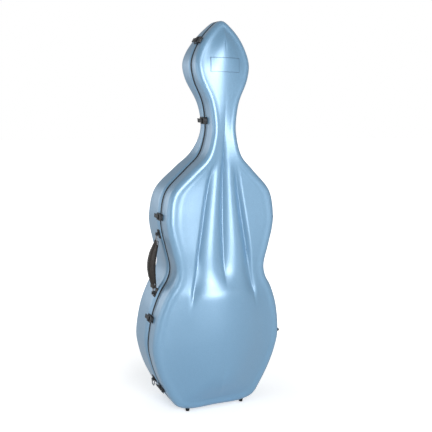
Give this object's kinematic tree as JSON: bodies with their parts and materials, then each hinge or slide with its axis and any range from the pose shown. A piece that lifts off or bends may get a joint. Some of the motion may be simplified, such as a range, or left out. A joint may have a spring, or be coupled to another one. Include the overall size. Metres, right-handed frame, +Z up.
{
  "type": "cello hard case",
  "caption": "Moulded hard case for a cello: a fluted lid shell hinged to a deep back shell, with draw latches, a side handle, strap rings and a padded interior.",
  "frame": {"origin": "on the floor under the middle of the case: on the centre line of its outline, at the middle of its overall depth, at the bottom of its feet", "axes": "+Z up from the feet to the head, +X towards the hinges, -Y towards the front, which is the lid"},
  "size_m": [0.4922, 0.2874, 1.3408],
  "materials": {
    "shell_paint": "satin",
    "rim_plastic": "satin",
    "rubber": "matte",
    "latch_metal": "satin",
    "steel": "satin",
    "leather": "satin",
    "lining_plush": "matte",
    "webbing": "matte",
    "nylon": "satin"
  },
  "bodies": {
    "back_case": {"back_shell": "shell_paint", "back_lining": "lining_plush", "back_rim": "rim_plastic", "seam_seal": "rubber", "hinge_leaf_back_lower": "steel", "hinge_pin_lower": "steel", "hinge_leaf_back_upper": "steel", "hinge_pin_upper": "steel", "latch_base_1": "latch_metal", "latch_base_2": "latch_metal", "latch_base_3": "latch_metal", "latch_base_4": "latch_metal", "latch_base_5": "latch_metal", "handle_bracket_lower": "latch_metal", "handle_bracket_upper": "latch_metal", "strap_plate_lower_left": "latch_metal", "strap_plate_lower_right": "latch_metal", "strap_plate_upper": "latch_metal", "back_foot_left": "rubber", "back_foot_right": "rubber", "neck_cradle": "lining_plush", "neck_strap": "webbing", "upper_bolster": "lining_plush", "lower_bolster": "lining_plush"},
    "lid": {"lid_shell": "shell_paint", "lid_lining": "lining_plush", "lid_rim": "rim_plastic", "hinge_leaf_lid_lower": "steel", "hinge_leaf_lid_upper": "steel", "latch_keeper_1": "latch_metal", "latch_keeper_2": "latch_metal", "latch_keeper_3": "latch_metal", "latch_keeper_4": "latch_metal", "latch_keeper_5": "latch_metal", "lid_foot_left": "rubber", "lid_foot_right": "rubber", "lid_side_foot_lower": "rubber", "lid_side_foot_upper": "rubber", "bow_tip_sleeve": "lining_plush", "bow_clip_base": "nylon", "badge_plate": "shell_paint"},
    "lever_1": {"latch_lever_1": "latch_metal"},
    "claw_1": {"latch_claw_1": "latch_metal"},
    "lever_2": {"latch_lever_2": "latch_metal"},
    "claw_2": {"latch_claw_2": "latch_metal"},
    "lever_3": {"latch_lever_3": "latch_metal"},
    "claw_3": {"latch_claw_3": "latch_metal"},
    "lever_4": {"latch_lever_4": "latch_metal"},
    "claw_4": {"latch_claw_4": "latch_metal"},
    "lever_5": {"latch_lever_5": "latch_metal"},
    "claw_5": {"latch_claw_5": "latch_metal"},
    "lock": {"lock_cylinder": "steel"},
    "handle": {"handle_grip": "leather", "handle_ring_lower": "steel", "handle_ring_upper": "steel"},
    "ring_lower_left": {"strap_ring_lower_left": "steel"},
    "ring_lower_right": {"strap_ring_lower_right": "steel"},
    "ring_upper": {"strap_ring_upper": "steel"},
    "bow_clip_left_turn": {"bow_clip_left": "nylon"},
    "bow_clip_right_turn": {"bow_clip_right": "nylon"}
  },
  "joints": [
    {"name": "lid_hinge", "type": "hinge", "parent": "back_case", "child": "lid", "pos_m": [0.24422, -0.018, 0.30247], "axis": [-0.0943, 0, 0.9955], "range_deg": [0, 110]},
    {"name": "lever_1_pivot", "type": "hinge", "parent": "back_case", "child": "lever_1", "pos_m": [-0.07523, -0.01, 1.27523], "axis": [0.4878, 0, 0.873], "range_deg": [0, 115]},
    {"name": "claw_1_pivot", "type": "hinge", "parent": "lever_1", "child": "claw_1", "pos_m": [-0.07654, -0.002, 1.27596], "axis": [0.4878, 0, 0.873], "range_deg": [-140, 0]},
    {"name": "lever_2_pivot", "type": "hinge", "parent": "back_case", "child": "lever_2", "pos_m": [-0.05151, -0.01, 1.01392], "axis": [-0.1741, 0, 0.9847], "range_deg": [0, 115]},
    {"name": "claw_2_pivot", "type": "hinge", "parent": "lever_2", "child": "claw_2", "pos_m": [-0.05298, -0.002, 1.01366], "axis": [-0.1741, 0, 0.9847], "range_deg": [-140, 0]},
    {"name": "lever_3_pivot", "type": "hinge", "parent": "back_case", "child": "lever_3", "pos_m": [-0.20458, -0.01, 0.69423], "axis": [0.0377, 0, 0.9993], "range_deg": [0, 115]},
    {"name": "claw_3_pivot", "type": "hinge", "parent": "lever_3", "child": "claw_3", "pos_m": [-0.20608, -0.002, 0.69429], "axis": [0.0377, 0, 0.9993], "range_deg": [-140, 0]},
    {"name": "lever_4_pivot", "type": "hinge", "parent": "back_case", "child": "lever_4", "pos_m": [-0.23514, -0.01, 0.34331], "axis": [0.2065, 0, 0.9785], "range_deg": [0, 115]},
    {"name": "claw_4_pivot", "type": "hinge", "parent": "lever_4", "child": "claw_4", "pos_m": [-0.2366, -0.002, 0.34362], "axis": [0.2065, 0, 0.9785], "range_deg": [-140, 0]},
    {"name": "lever_5_pivot", "type": "hinge", "parent": "back_case", "child": "lever_5", "pos_m": [-0.19263, -0.01, 0.08285], "axis": [-0.4894, 0, 0.8721], "range_deg": [0, 115]},
    {"name": "claw_5_pivot", "type": "hinge", "parent": "lever_5", "child": "claw_5", "pos_m": [-0.19393, -0.002, 0.08211], "axis": [-0.4894, 0, 0.8721], "range_deg": [-140, 0]},
    {"name": "lock_turn", "type": "hinge", "parent": "claw_5", "child": "lock", "pos_m": [-0.19568, -0.03313, 0.08113], "axis": [-0.8721, 0, -0.4894], "range_deg": [0, 90]},
    {"name": "handle_swing", "type": "hinge", "parent": "back_case", "child": "handle", "pos_m": [-0.20752, 0.013, 0.52688], "axis": [0.0598, 0, 0.9982], "range_deg": [-90, 90]},
    {"name": "ring_lower_left_swing", "type": "hinge", "parent": "back_case", "child": "ring_lower_left", "pos_m": [-0.19975, 0.042, 0.09453], "axis": [0, 1, 0], "range_deg": [-20, 120]},
    {"name": "ring_lower_right_swing", "type": "hinge", "parent": "back_case", "child": "ring_lower_right", "pos_m": [0.19975, 0.042, 0.09453], "axis": [0, -1, 0], "range_deg": [-20, 120]},
    {"name": "ring_upper_swing", "type": "hinge", "parent": "back_case", "child": "ring_upper", "pos_m": [0, 0.1096, 0.85184], "axis": [1, 0, 0], "range_deg": [0, 130]},
    {"name": "bow_clip_left_turn", "type": "hinge", "parent": "lid", "child": "bow_clip_left_turn", "pos_m": [-0.03, -0.10779, 0.20502], "axis": [0, -1, 0], "range_deg": [-90, 90]},
    {"name": "bow_clip_right_turn", "type": "hinge", "parent": "lid", "child": "bow_clip_right_turn", "pos_m": [0.03, -0.10779, 0.20502], "axis": [0, -1, 0], "range_deg": [-90, 90]}
  ],
  "couplings": [
    {"joint": "claw_1_pivot", "follows": "lever_1_pivot", "ratio": -1.2},
    {"joint": "claw_2_pivot", "follows": "lever_2_pivot", "ratio": -1.2},
    {"joint": "claw_3_pivot", "follows": "lever_3_pivot", "ratio": -1.2},
    {"joint": "claw_4_pivot", "follows": "lever_4_pivot", "ratio": -1.2},
    {"joint": "claw_5_pivot", "follows": "lever_5_pivot", "ratio": -1.2}
  ]
}
